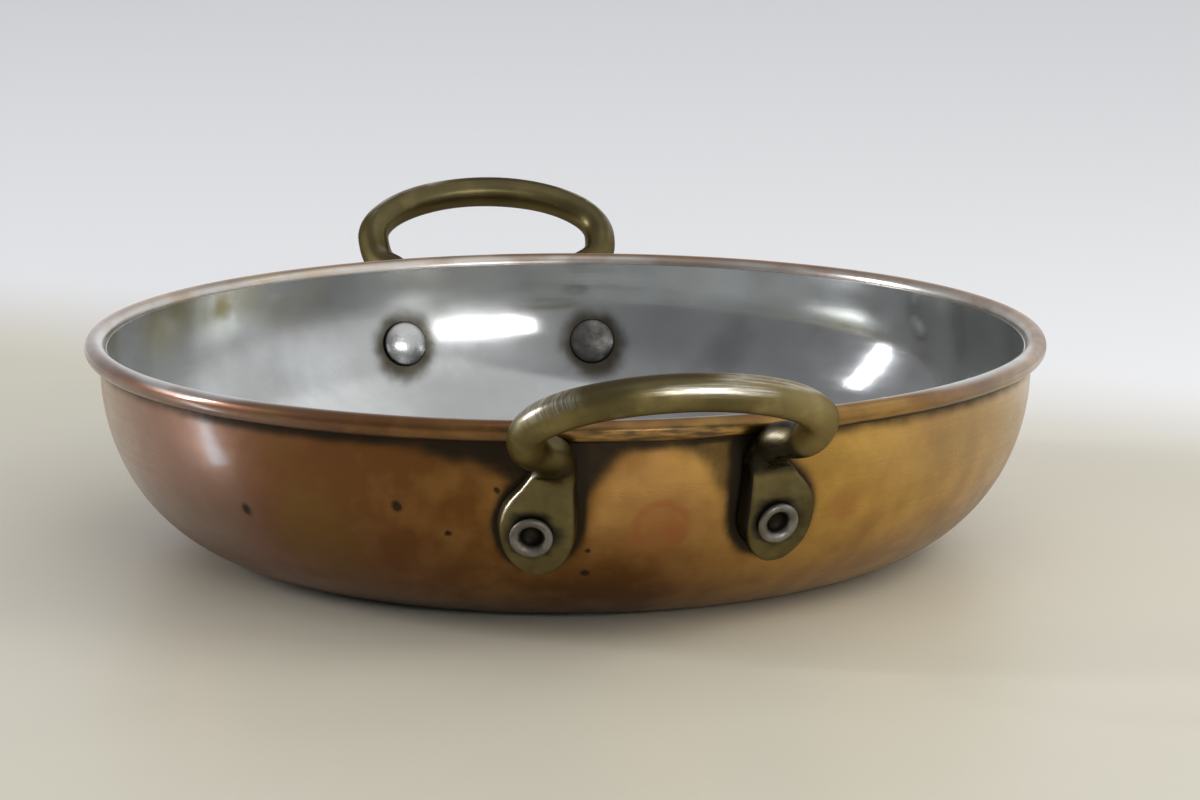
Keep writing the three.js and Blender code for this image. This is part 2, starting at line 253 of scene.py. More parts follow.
def copper_masks(points):
    """Grime with painted shade, tarnish with painted shade low down, darkening near the base, polish,
    lustre, run-out tin and a painted highlight on the rim, from where each point lies on the copper.
    Turns are in degrees from the front handle, and grow to the right of its user."""
    height = points[:, 2]
    radius = np.hypot(points[:, 0], points[:, 1])
    turn = np.degrees(np.arctan2(points[:, 0], -points[:, 1]))
    outside = rise(-0.6, -0.2, radius - np.interp(height, *flank(FLANK_STEPS, 0)[:, ::-1].T))
    rim = np.hypot(radius - ROLL_CENTRE[0], height - ROLL_CENTRE[1]) < ROLL_RADIUS + 0.05
    wall = outside * ~rim

    # Grime and painted shade: a dark seam in the corner under the roll, and on the roll's own lip
    seam = 0.33 + 0.42 * rise(-72, -50, turn) * rise(62, 36, turn)
    seam_foot = 33.9 + 1.1 * rise(0, 26, turn)
    grime_and_shade = seam * rise(seam_foot - 0.6, seam_foot + 1.6, height) * wall
    lip = np.arctan2(height - ROLL_CENTRE[1], radius - ROLL_CENTRE[0])
    past_lip = lip - LIP_ANGLE - 0.55 * rise(14, 26, turn) * rise(66, 48, turn)
    grime_and_shade = np.maximum(grime_and_shade, rim * (lip > LIP_ANGLE - 0.3) * rise(0.9, 0.25, past_lip))
    rim_dirt = 0.35 * rim * rise(39.6, 37.4, height)

    # Grime and painted shade round each foot and under the rim by the legs, smoke beside and between the
    # feet, and the bright arch
    polish = np.zeros(len(points))
    for end in ("front", "back"):
        sideways = from_handle(points, end)
        for side in (-1, 1):
            off_foot = np.clip(foot_distance(points, end, side), 0, None)
            beside_right = (side > 0) * rise(4, 7, np.abs(sideways - 22))
            spread = 1.4 + 0.7 * rise(25, 33, height) + 0.5 * beside_right
            grime_and_shade = np.maximum(grime_and_shade, hump(0, spread, off_foot) * wall)
        off_arch = np.abs(sideways - ARCH_MIDDLE)
        up_arch = np.clip(height - ARCH_FOOT, 0, None)
        arch = (off_arch / ARCH_HALF_WIDTH) ** ARCH_POWER + (up_arch / ARCH_RISE) ** ARCH_POWER
        smoke = rise(0.8, 1.45, arch) * (1 - rise(15, 20, off_arch)) * rise(18, 29, height)
        grime_and_shade = np.maximum(grime_and_shade, (0.78 - 0.2 * rise(-4, 8, sideways)) * smoke * wall)
        # Painted shade with grime under the rim, reaching further down beside the feet, where the legs
        # and knuckles stand out over the wall
        dark_from = 34.8 - 2.0 * hump(22, 7, sideways)
        dark_from = dark_from - 5.6 * hump(-23, 6, sideways) - 2.4 * hump(-34, 6, sideways)
        cloud = 0.7 + 0.1 * rise(-18, -22, sideways)
        grime_and_shade = np.maximum(grime_and_shade, cloud * rise(dark_from - 2.4, dark_from + 2.2, height) * wall)
        near_rim = (1 - rise(22, 30, np.abs(sideways))) * rim * rise(-0.6, 0.5, radius - 88.4)
        rim_dirt = np.maximum(rim_dirt, near_rim * rise(40.0, 38.2, height))
        polish = np.maximum(polish, (1 - rise(0.55, 1.2, arch)) * wall * rise(9, 24, height))

    # Tarnish: brown at the left, rosy further left, hazy at the right. The darker brown low down is
    # painted shade, for the shaded floor beside the pan that the low wall reflects
    left = rise(-74, -44, turn) * rise(8, -11, turn)
    low = rise(27, 5, height) * (1 - 0.5 * rise(-18, 4, turn) * rise(80, 50, turn))
    far_side = hump(180, 70, np.abs(turn))
    rim_brown = 0.8 + 0.18 * left - 0.4 * rim_dirt
    wall_brown = 0.2 + (0.68 + 0.15 * hump(-24, 9, turn)) * left + 0.85 * low + 0.3 * far_side
    brown_and_low_shade = np.where(rim, rim_brown, wall_brown)
    brown_and_low_shade = brown_and_low_shade + (0.30 + 0.42 * low - brown_and_low_shade) * polish
    # Darker near the base, where the flank curves in to the floor
    dark_near_base = rise(5.5, 0.6, height) * outside * (0.38 + 0.6 * left)
    rosy = 0.9 * hump(-58, 27, turn) + 0.4 * hump(150, 50, turn)
    haze = rise(14, 58, turn) * rise(150, 110, turn) * rise(17, 31, height) * wall
    rim_lustre = np.maximum(rise(-30, -48, turn), rise(30, 44, turn) * rise(72, 56, turn))
    wall_lustre = rise(-44, -58, turn) * rise(-94, -78, turn) * rise(6, 16, height)
    lustre = np.where(rim, 0.3 + 0.7 * rim_lustre, wall_lustre)

    # Tin that ran out over the rim, rubbed further out at the right. At the left it spreads over the
    # roll's shoulder as a painted highlight, pale where the left lamp's highlight falls
    inner_roll = np.arctan2(height - ROLL_CENTRE[1], ROLL_CENTRE[0] - radius)
    pale_reach = 1.2 * rise(20, 40, turn) * rise(74, 58, turn)
    pale_reach = np.maximum(pale_reach, 0.6 * rise(-44, -62, turn) * rise(-112, -92, turn))
    pale_reach = np.maximum(pale_reach, 1.7 * hump(-59, 17, turn))
    tin_wash_and_highlight = rise(1.35, 0.5, inner_roll - pale_reach) * (height > 37.5) * (inner_roll > -1)
    return {
        "grime_and_shade": grime_and_shade, "rim_dirt": rim_dirt, "polish": polish, "brown_and_low_shade": brown_and_low_shade, "dark_near_base": dark_near_base,
        "rosy": rosy, "haze": haze, "lustre": lustre, "tin_wash_and_highlight": tin_wash_and_highlight,
    }


set_masks(copper_body, copper_masks(points_of(copper_body)))


def fill(tree, socket, value):
    """Links a socket to the one given, or sets it to the plain value given."""
    if isinstance(value, bpy.types.NodeSocket):
        tree.links.new(value, socket)
    else:
        socket.default_value = value


def new_node(tree, kind, inputs=None, **settings):
    """Adds a shader node, sets its properties, and fills or links its inputs by name or number."""
    made = tree.nodes.new(kind)
    for name, value in settings.items():
        setattr(made, name, value)
    for name, value in (inputs or {}).items():
        fill(tree, made.inputs[name], value)
    return made


def new_group(name, takes, gives):
    """An empty shader node group with named sockets, and its two ends."""
    group = bpy.data.node_groups.new(name, "ShaderNodeTree")
    for socket, (kind, value) in takes.items():
        made = group.interface.new_socket(name=socket, in_out="INPUT", socket_type="NodeSocket" + kind)
        made.default_value = value
    for socket, kind in gives.items():
        group.interface.new_socket(name=socket, in_out="OUTPUT", socket_type="NodeSocket" + kind)
    return group, group.nodes.new("NodeGroupInput").outputs, group.nodes.new("NodeGroupOutput").inputs


def placed(tree, group, **inputs):
    """The outputs of a node group placed in a material, with its inputs given by name."""
    made = tree.nodes.new("ShaderNodeGroup")
    made.node_tree = group
    for name, value in inputs.items():
        fill(tree, made.inputs[name.replace("_", " ")], value)
    return made.outputs


def math_node(tree, operation, a, b=0.0, clamp=False):
    """The result of one step of arithmetic."""
    return new_node(tree, "ShaderNodeMath", {0: a, 1: b}, operation=operation, use_clamp=clamp).outputs[0]


def plus(tree, a, b, clamp=False):
    """The sum of two values."""
    return math_node(tree, "ADD", a, b, clamp)


def minus(tree, a, b, clamp=False):
    """The first value less the second."""
    return math_node(tree, "SUBTRACT", a, b, clamp)


def times(tree, a, b):
    """The product of two values."""
    return math_node(tree, "MULTIPLY", a, b)


def swing(tree, value, reach):
    """A value from 0 to 1 turned into a change up or down, with a half as no change."""
    return times(tree, minus(tree, value, 0.5), reach)


def ranged(tree, value, low, high, first=0.0, last=1.0, kind="SMOOTHSTEP"):
    """A value stretched so that low gives the first number and high gives the last."""
    made = new_node(
        tree, "ShaderNodeMapRange",
        {"Value": value, "From Min": low, "From Max": high, "To Min": first, "To Max": last},
        interpolation_type=kind,
    )
    return made.outputs["Result"]


def vector_node(tree, operation, a, b):
    """The outputs of one step of arithmetic with places or directions."""
    return new_node(tree, "ShaderNodeVectorMath", {0: a, 1: b}, operation=operation).outputs


def combined(tree, x, y=0.0, z=0.0):
    """A place made up from three values."""
    return new_node(tree, "ShaderNodeCombineXYZ", {0: x, 1: y, 2: z}).outputs[0]


def own_place(tree):
    """Where a point lies on its piece, in the piece's own metres."""
    return new_node(tree, "ShaderNodeTexCoord").outputs["Object"]


def noise(tree, place, scale, detail):
    """Noise about a half, at a place."""
    made = new_node(tree, "ShaderNodeTexNoise", {"Vector": place, "Scale": scale, "Detail": detail})
    return made.outputs["Fac"]


def mixed(tree, share, *colours):
    """One colour turned into another by a share."""
    made = new_node(tree, "ShaderNodeMix", {0: share}, data_type="RGBA")
    for socket, colour in zip((made.inputs[6], made.inputs[7]), colours):
        is_plain = not isinstance(colour, bpy.types.NodeSocket)
        fill(tree, socket, (*colour, 1) if is_plain else colour)
    return made.outputs[2]


def mixed_value(tree, share, a, b):
    """One value turned into another by a share."""
    return new_node(tree, "ShaderNodeMix", {0: share, 2: a, 3: b}, data_type="FLOAT").outputs[0]


def mask_of(tree, name):
    """A mask that the mesh carries on its points."""
    return new_node(tree, "ShaderNodeAttribute", attribute_name=name).outputs["Fac"]


def bare_material(name):
    """A new material with its shader and its output, and nothing else."""
    material = bpy.data.materials.new(name)
    material.use_nodes = True
    tree = material.node_tree
    tree.nodes.clear()
    shader = tree.nodes.new("ShaderNodeBsdfPrincipled")
    output = tree.nodes.new("ShaderNodeOutputMaterial")
    tree.links.new(shader.outputs["BSDF"], output.inputs["Surface"])
    return material, tree, shader.inputs


# Cloudy patches, as tarnish spreads: a soft mask over the whole piece
patches, given, out = new_group(
    "cloudy_patches",
    {"Scale": ("Float", 40.0), "Shift": ("Float", 0.0), "Low": ("Float", 0.4), "High": ("Float", 0.6)},
    {"Mask": "Float"},
)
moved = vector_node(patches, "ADD", own_place(patches), given["Shift"])[0]
cloud = noise(patches, moved, given["Scale"], 5.0)
patches.links.new(ranged(patches, cloud, given["Low"], given["High"]), out["Mask"])

# Turning marks, left by spinning and rubbing round the pan: lines that follow each circle
turning, given, out = new_group(
    "turning_marks",
    {"Around": ("Float", 3.0), "Across": ("Float", 900.0)},
    {"Marks": "Float"},
)
parts = new_node(turning, "ShaderNodeSeparateXYZ", {0: own_place(turning)}).outputs
squares = [math_node(turning, "POWER", math_node(turning, "ABSOLUTE", part), 2.0) for part in parts[:2]]
reach = math_node(turning, "SQRT", plus(turning, plus(turning, *squares), 1e-8))
round_scale = math_node(turning, "DIVIDE", given["Around"], reach)
ring_place = combined(
    turning,
    times(turning, parts[0], round_scale),
    times(turning, parts[1], round_scale),
    times(turning, plus(turning, parts[2], reach), given["Across"]),
)
turning.links.new(noise(turning, ring_place, 1.0, 4.0), out["Marks"])

# A single soft spot at a place on the piece, such as a stain or a pit
spot, given, out = new_group(
    "soft_spot",
    {"Centre": ("Vector", (0.0, 0.0, 0.0)), "Inside": ("Float", 0.001), "Outside": ("Float", 0.002),
     "Ragged": ("Float", 0.0)},
    {"Mask": "Float", "Reach": "Float"},
)
place = own_place(spot)
away = vector_node(spot, "DISTANCE", place, given["Centre"])["Value"]
away = plus(spot, away, swing(spot, noise(spot, place, 420.0, 3.0), given["Ragged"]))
spot.links.new(ranged(spot, away, given["Inside"], given["Outside"], 1.0, 0.0), out["Mask"])
spot.links.new(away, out["Reach"])


def spot_at(tree, place, inside, outside, ragged):
    """The outputs of a soft spot, with its place and its sizes in millimetres."""
    return placed(tree, spot, Centre=[length * MM for length in place], Inside=inside * MM,
                  Outside=outside * MM, Ragged=ragged * MM)


# Grime, and painted shade, in corners and round fittings: its edge breaks up over the metal
grime_and_shade_coat, given, out = new_group(
    "grime_and_shade_coat",
    {"Colour": ("Color", (0.5, 0.5, 0.5, 1)), "Roughness": ("Float", 0.3), "Grime": ("Float", 0.0),
     "Grime Colour": ("Color", (0.02, 0.015, 0.01, 1)), "Grime Roughness": ("Float", 0.6),
     "Break Scale": ("Float", 300.0), "Break": ("Float", 0.5)},
    {"Colour": "Color", "Roughness": "Float", "Cover": "Float"},
)
broken = noise(grime_and_shade_coat, own_place(grime_and_shade_coat), given["Break Scale"], 5.0)
uneven = swing(grime_and_shade_coat, broken, given["Break"])
edge = times(grime_and_shade_coat, times(grime_and_shade_coat, given["Grime"], minus(grime_and_shade_coat, 1.0, given["Grime"])), 4.0)
amount = plus(grime_and_shade_coat, given["Grime"], times(grime_and_shade_coat, uneven, edge), clamp=True)
cover = ranged(grime_and_shade_coat, amount, 0.08, 0.85)
dirty_roughness = mixed_value(grime_and_shade_coat, cover, given["Roughness"], given["Grime Roughness"])
grime_and_shade_coat.links.new(mixed(grime_and_shade_coat, cover, given["Colour"], given["Grime Colour"]), out["Colour"])
grime_and_shade_coat.links.new(dirty_roughness, out["Roughness"])
grime_and_shade_coat.links.new(cover, out["Cover"])


def link_surface(tree, shader, surface):
    """Links the colour and the roughness of a surface with its grime and painted shade to the shader."""
    tree.links.new(surface["Colour"], shader["Base Color"])
    tree.links.new(surface["Roughness"], shader["Roughness"])


def link_relief(tree, shader, height, depth, strength):
    """Links a fine relief to the shader, with its depth in millimetres."""
    relief = {"Height": height, "Distance": depth * MM, "Strength": strength}
    bump = new_node(tree, "ShaderNodeBump", relief)
    tree.links.new(bump.outputs["Normal"], shader["Normal"])


# Copper that has gone brown, rosy and olive, rubbed back to gold between the handle's feet, with painted
# shade low down as a darker brown
GOLDEN = (0.66, 0.395, 0.092)
ROSY = (0.45, 0.205, 0.135)
BROWN = (0.162, 0.064, 0.009)
ROSE_BROWN = (0.23, 0.095, 0.062)
OLIVE = (0.24, 0.155, 0.030)
HAZY = (0.45, 0.325, 0.185)
RED_STAIN = (0.36, 0.135, 0.045)
DEEP_BROWN = (0.05, 0.032, 0.018)
TIN_WASH_AND_HIGHLIGHT = (0.62, 0.60, 0.56)
COPPER_GRIME_AND_SHADE = (0.034, 0.026, 0.018, 1)
STAIN_PLACE = (2.1, -84.7, 20.7)
STAIN_RING = 4.6
SMALL_STAINS = (((35.6, -77.3, 21.4), 5.0), ((4.5, -84.0, 19.5), 3.4), ((-3.3, -83.5, 18.3), 2.6))
PITS = (
    ((-10.2, -79.4, 11.9), 1.1), ((-41.7, -75.0, 23.7), 1.6), ((-65.2, -53.4, 19.4), 2.1),
    ((-33.3, -77.4, 19.4), 1.0), ((-25.7, -82.7, 27.7), 1.0), ((-10.2, -82.3, 16.4), 1.0),
)

copper, tree, shader = bare_material("aged_copper")
drift = placed(tree, patches, Scale=28.0, Low=0.38, High=0.62)["Mask"]
mottle = placed(tree, patches, Scale=150.0, Shift=12.4, Low=0.3, High=0.7)["Mask"]
uneven = plus(tree, swing(tree, drift, 0.24), swing(tree, mottle, 0.24))
brown_and_shade_share = plus(tree, mask_of(tree, "brown_and_low_shade"), uneven, clamp=True)
rosy_mask = mask_of(tree, "rosy")
rosy_share = placed(tree, patches, Scale=22.0, Shift=3.7, Low=0.42, High=0.7)["Mask"]
rosy_share = plus(tree, times(tree, rosy_share, 0.4), rosy_mask, clamp=True)
olive_share = placed(tree, patches, Scale=34.0, Shift=9.1, Low=0.48, High=0.72)["Mask"]
olive_share = times(tree, olive_share, minus(tree, 0.35, times(tree, mask_of(tree, "polish"), 0.3)))
colour = mixed(tree, rosy_share, GOLDEN, ROSY)
colour = mixed(tree, brown_and_shade_share, colour, BROWN)
colour = mixed(tree, times(tree, rosy_mask, 0.5), colour, ROSE_BROWN)
colour = mixed(tree, olive_share, colour, OLIVE)
colour = mixed(tree, times(tree, mask_of(tree, "haze"), 0.55), colour, HAZY)

# A round red stain with a broken ring, and small ones about it
stain = spot_at(tree, STAIN_PLACE, 3.5, 6.2, 1.2)
off_ring = math_node(tree, "ABSOLUTE", minus(tree, stain["Reach"], STAIN_RING * MM))
ring = ranged(tree, off_ring, 0.2 * MM, 1.2 * MM, 0.5, 0.0)
ring_patch = placed(tree, patches, Scale=210.0, Shift=6.2, Low=0.36, High=0.56)["Mask"]
ring = times(tree, ring, mixed_value(tree, ring_patch, 0.35, 1.0))
stain_share = plus(tree, times(tree, stain["Mask"], 0.4), ring, clamp=True)
for stain_place, stain_size in SMALL_STAINS:
    small_stain = spot_at(tree, stain_place, stain_size * 0.2, stain_size, 2.0)["Mask"]
    stain_share = plus(tree, stain_share, times(tree, small_stain, 0.5), clamp=True)
colour = mixed(tree, stain_share, colour, RED_STAIN)

# Turning marks, the tin that ran over the rim with a painted highlight at the left, dirt streaks on the
# rim, and darkening near the base
marks = placed(tree, turning, Around=2.5, Across=1500.0)["Marks"]
colour = mixed(tree, times(tree, minus(tree, marks, 0.35, clamp=True), 0.18), colour, BROWN)
roughness = plus(tree, mixed_value(tree, brown_and_shade_share, 0.25, 0.38), swing(tree, marks, 0.16))
wash_and_highlight = placed(tree, patches, Scale=120.0, Shift=5.3, Low=0.3, High=0.62)["Mask"]
wash_and_highlight = times(tree, mixed_value(tree, wash_and_highlight, 0.5, 0.9), mask_of(tree, "tin_wash_and_highlight"))
colour = mixed(tree, wash_and_highlight, colour, TIN_WASH_AND_HIGHLIGHT)
streaks = placed(tree, turning, Around=16.0, Across=1100.0)["Marks"]
streaks = times(tree, mask_of(tree, "rim_dirt"), ranged(tree, streaks, 0.38, 0.62, kind="LINEAR"))
colour = mixed(tree, times(tree, streaks, 0.85), colour, DEEP_BROWN)
surface = placed(tree, grime_and_shade_coat, Colour=colour, Roughness=roughness,
                 Grime=times(tree, mask_of(tree, "dark_near_base"), 0.75), Grime_Colour=(*DEEP_BROWN, 1),
                 Grime_Roughness=0.55, Break_Scale=90.0, Break=0.7)
# Grime and painted shade from the copper's mask, with the pits
dirt_and_shade = mask_of(tree, "grime_and_shade")
for pit_place, pit_size in PITS:
    pit = spot_at(tree, pit_place, pit_size * 0.25, pit_size, 1.4)["Mask"]
    dirt_and_shade = math_node(tree, "MAXIMUM", dirt_and_shade, times(tree, pit, 0.72))
surface = placed(tree, grime_and_shade_coat, Colour=surface["Colour"], Roughness=surface["Roughness"], Grime=dirt_and_shade,
                 Grime_Colour=COPPER_GRIME_AND_SHADE, Grime_Roughness=0.55, Break_Scale=240.0, Break=0.4)
link_surface(tree, shader, surface)
link_relief(tree, shader, plus(tree, times(tree, marks, 0.35), surface["Cover"]), 0.05, 0.35)
lustre_share = plus(tree, times(tree, mask_of(tree, "lustre"), 0.75), 0.13)
lustre_share = times(tree, minus(tree, 1.0, surface["Cover"]), lustre_share)
tree.links.new(lustre_share, shader["Coat Weight"])
shader["Coat Roughness"].default_value = 0.15
shader["Coat IOR"].default_value = 1.7
shader["Metallic"].default_value = 1.0
copper_body.data.materials.append(copper)
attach(copper_body, "root")
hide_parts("copper_body")

# Tin lining: molten tin wiped by hand over the whole inside, a thin dull grey coat with cloudy
# patches, darker food marks and wiping strokes. It runs out over the inside of the rolled rim.
LINING_GAP = 0.1
LINING_COAT = 0.3
LINING_BACK = SHEET + LINING_GAP
LINING_FACE = LINING_BACK + LINING_COAT
LINING_TOP = ROLL_CENTRE[1]
LINING_TAPER = 0.05
LINING_STEPS = 64
FLOOR_EDGE = 54.0
lining_profile = np.concatenate([
    [(0, LINING_BACK), (FLOOR_MIDDLE, LINING_BACK)],
    flank(HIDDEN_STEPS, -LINING_BACK),
    [(WALL_RADIUS - LINING_BACK, LINING_TOP), (WALL_RADIUS - LINING_FACE + LINING_TAPER, LINING_TOP)],
    flank(LINING_STEPS, -LINING_FACE)[::-1],
    [(radius, LINING_FACE) for radius in np.linspace(FLOOR_EDGE, FIRST_RING, FLOOR_RINGS)],
    [(0, LINING_FACE)],
])
lining_points, lining_faces = turned_skin(lining_profile, TURN_STEPS)
tin_lining = new_piece("tin_inside", wavered(lining_points), lining_faces)


def lining_masks(points):
    """Grime and painted shade round the rivet heads, and where the tin is yellowed, darkened, matte and
    burnished. Turns are in degrees from the back handle, and grow towards +X."""
    height = points[:, 2]
    turn = np.degrees(np.arctan2(points[:, 0], points[:, 1]))
    head_ring = np.zeros(len(points))
    for end in ("front", "back"):
        for side in (-1, 1):
            sideways = from_handle(points, end) - side * RIVET_SPREAD - RIVET_SHIFT
            away = np.hypot(sideways, height - RIVET_HEIGHT - lift(side))
            head_ring = np.maximum(head_ring, 0.8 * rise(10.5, 4.6, away) ** 1.5)
    low_down = rise(-26, -6, turn) * rise(60, 40, turn) * rise(20, 14, height)
    darkened = np.maximum(rise(5, 25, turn) * (1 - rise(36, 54, turn)), low_down)
    matte = rise(14, -18, turn) * rise(-140, -90, turn)
    matte = np.maximum(matte, 0.6 * rise(68, 84, turn) * rise(160, 130, turn))
    off_centre = rise(4, 48, np.hypot(points[:, 0], points[:, 1]))
    return {
        "grime_and_shade": head_ring,
        "yellowed": rise(24, 37, height) * hump(-60, 45, turn),
        "darkened": 0.4 + (darkened - 0.4) * off_centre,
        "matte": 0.5 + (matte - 0.5) * off_centre,
        "burnished": hump(58, 9, turn) * off_centre,
    }


set_masks(tin_lining, lining_masks(points_of(tin_lining)))

TIN_GREY = (0.47, 0.48, 0.47)
TIN_PALE = (0.61, 0.625, 0.625)
TIN_DARK = (0.30, 0.31, 0.31)
TIN_YELLOW = (0.34, 0.31, 0.17)
FOOD_MARK = (0.30, 0.25, 0.10)
TIN_GRIME_AND_SHADE = (0.07, 0.062, 0.042, 1)
FOOD_MARK_PLACE = (-59.6, 61.7, 35.2)

tin, tree, shader = bare_material("wiped_tin")
cloud_share = placed(tree, patches, Scale=38.0, Shift=2.2, Low=0.35, High=0.68)["Mask"]
colour = mixed(tree, cloud_share, TIN_GREY, TIN_PALE)
dark_share = placed(tree, patches, Scale=55.0, Shift=7.9, Low=0.48, High=0.74)["Mask"]
darkened_share = times(tree, mask_of(tree, "darkened"), 0.55)
dark_share = plus(tree, times(tree, dark_share, 0.45), darkened_share, clamp=True)
colour = mixed(tree, dark_share, colour, TIN_DARK)
yellow_share = placed(tree, patches, Scale=48.0, Shift=4.4, Low=0.35, High=0.62)["Mask"]
colour = mixed(tree, times(tree, yellow_share, mask_of(tree, "yellowed")), colour, TIN_YELLOW)
food_mark = spot_at(tree, FOOD_MARK_PLACE, 0.5, 4.2, 3.0)["Mask"]
colour = mixed(tree, times(tree, food_mark, 0.85), colour, FOOD_MARK)
marks = placed(tree, turning, Around=5.0, Across=700.0)["Marks"]
roughness = mixed_value(tree, cloud_share, 0.10, 0.14)
roughness = plus(tree, roughness, times(tree, mask_of(tree, "matte"), 0.11))
roughness = minus(tree, roughness, times(tree, mask_of(tree, "burnished"), 0.032))
roughness = plus(tree, roughness, swing(tree, marks, 0.05))
surface = placed(tree, grime_and_shade_coat, Colour=colour, Roughness=roughness, Grime=mask_of(tree, "grime_and_shade"),
                 Grime_Colour=TIN_GRIME_AND_SHADE, Grime_Roughness=0.26, Break_Scale=260.0, Break=0.6)
strokes = placed(tree, patches, Scale=170.0, Shift=1.1, Low=0.3, High=0.7)["Mask"]
link_surface(tree, shader, surface)
link_relief(tree, shader, plus(tree, times(tree, marks, 0.4), times(tree, strokes, 0.5)), 0.05, 0.2)
shader["Metallic"].default_value = 0.88
tin_lining.data.materials.append(tin)
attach(tin_lining, "root")
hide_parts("tin_lining")

# Rim wire: a plain iron wire that the copper edge is rolled round, to stiffen it. Only a thin dark
# line of it can be seen up inside the roll, so the solid stays, with a rusted iron finish.
IRON = (0.16, 0.14, 0.125)
IRON_RUST = (0.12, 0.05, 0.02)

iron, tree, shader = bare_material("rusted_iron")
rust_share = placed(tree, patches, Scale=260.0, Shift=6.6, Low=0.42, High=0.6)["Mask"]
tree.links.new(mixed(tree, rust_share, IRON, IRON_RUST), shader["Base Color"])
tree.links.new(mixed_value(tree, rust_share, 0.45, 0.85), shader["Roughness"])
tree.links.new(mixed_value(tree, rust_share, 1.0, 0.1), shader["Metallic"])
link_relief(tree, shader, rust_share, 0.04, 0.4)
rim_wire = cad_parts["rim_wire"]
rim_wire.data.materials.clear()
rim_wire.data.materials.append(iron)

# Handles: two brass castings, each a round bar bent to a loop and flattened at both ends into feet
# that lie on the wall. They have an olive-brown skin, worn and scratched where hands rub them; the bright
# brass is painted highlight, placed where the lamps reflect, and the skin has painted light and shade.
BAR_RADIUS = 3.2
FOOT_GAP = 0.3
FOOT_HALF_THICKNESS = 1.7
FOOT_EDGE = 0.9
FOOT_DRAFT = 0.7
HEEL_EDGE = 0.3
TOE_ANGLES = (14, 22, 31, 40, 49, 58, 67, 76, 84, 90)
TOE_CAP = 0.35
LEG_START = 7.5
LEG_LEAVING = 4.0
LEG_TAPER = 6.0
KNUCKLE_RADIUS = 93.0
KNUCKLE_HEIGHT = 34.8
KNUCKLE_PULL = 4.0
LEG_PULL = 10.0
BOW_SHIFT = {"front": 0.4, "back": -0.4}
BOW_HALF_WIDTH = 24.3
BOW_WIDEST = (-103.4, 41.3)
BOW_SLOPE = math.radians(36.6)
BOW_DEPTH = 13.8
WALL_CLEARANCE = 0.22
ROLL_CLEARANCE = 0.2
HOLE_RADIUS = 2.8
DRILL_START = -3.0
DRILL_END = 9.0
DRILL_STEPS = 48
CORNER_STEPS = 9
SIDE_STEPS = 4
LEG_STEPS = 22
SHOULDER_STEPS = 18
BOW_STEPS = 34
LEAST_STEP = 0.4
EVENING_ROUNDS = 120

fine_flank, fine_along = bezier(FLANK_CURVE, 600)
up_the_flank = np.concatenate([[0], np.cumsum(np.linalg.norm(np.diff(fine_flank, axis=0), axis=1))])
rivet_on_flank = np.interp(RIVET_HEIGHT, fine_flank[:, 1], up_the_flank)
rivet_wall_radius = np.interp(RIVET_HEIGHT, fine_flank[:, 1], fine_flank[:, 0])
up_the_bow = np.array([0, -math.cos(BOW_SLOPE), math.sin(BOW_SLOPE)])
under_the_bow = np.array([0, -math.sin(BOW_SLOPE), -math.cos(BOW_SLOPE)])


def unit(vector):
    """The direction of a vector, one long."""
    return vector / np.linalg.norm(vector)


def on_wall(sideways, up):
    """A frame on the wall at a place to the side of the handle and up from the rivets: the place, the way
    to the right, the way up the wall and the way out of it."""
    along = rivet_on_flank + up
    radius = np.interp(along, up_the_flank, fine_flank[:, 0])
    height = np.interp(along, up_the_flank, fine_flank[:, 1]) + max(0, along - up_the_flank[-1])
    lean = unit(np.array([np.interp(along, up_the_flank, fine_along[:, i]) for i in (0, 1)]))
    turn = math.asin(sideways / rivet_wall_radius)
    outwards = np.array([math.sin(turn), -math.cos(turn), 0])
    upright = np.array([0, 0, 1.0])
    rising = outwards * lean[0] + upright * lean[1]
    out_of = outwards * lean[1] - upright * lean[0]
    return outwards * radius + upright * height, np.cross(rising, out_of), rising, out_of


def foot_middle(side, up):
    """Middle of the foot's thickness at a height above the rivet, with the ways out of the wall and to
    the right."""
    place, right, rising, out_of = on_wall(side * FOOT_SPREAD + FOOT_SHIFT, up + lift(side))
    lean = -side * NECK_LEAN * neck_share(up)
    return place + right * lean + out_of * (FOOT_GAP + FOOT_HALF_THICKNESS), out_of, right


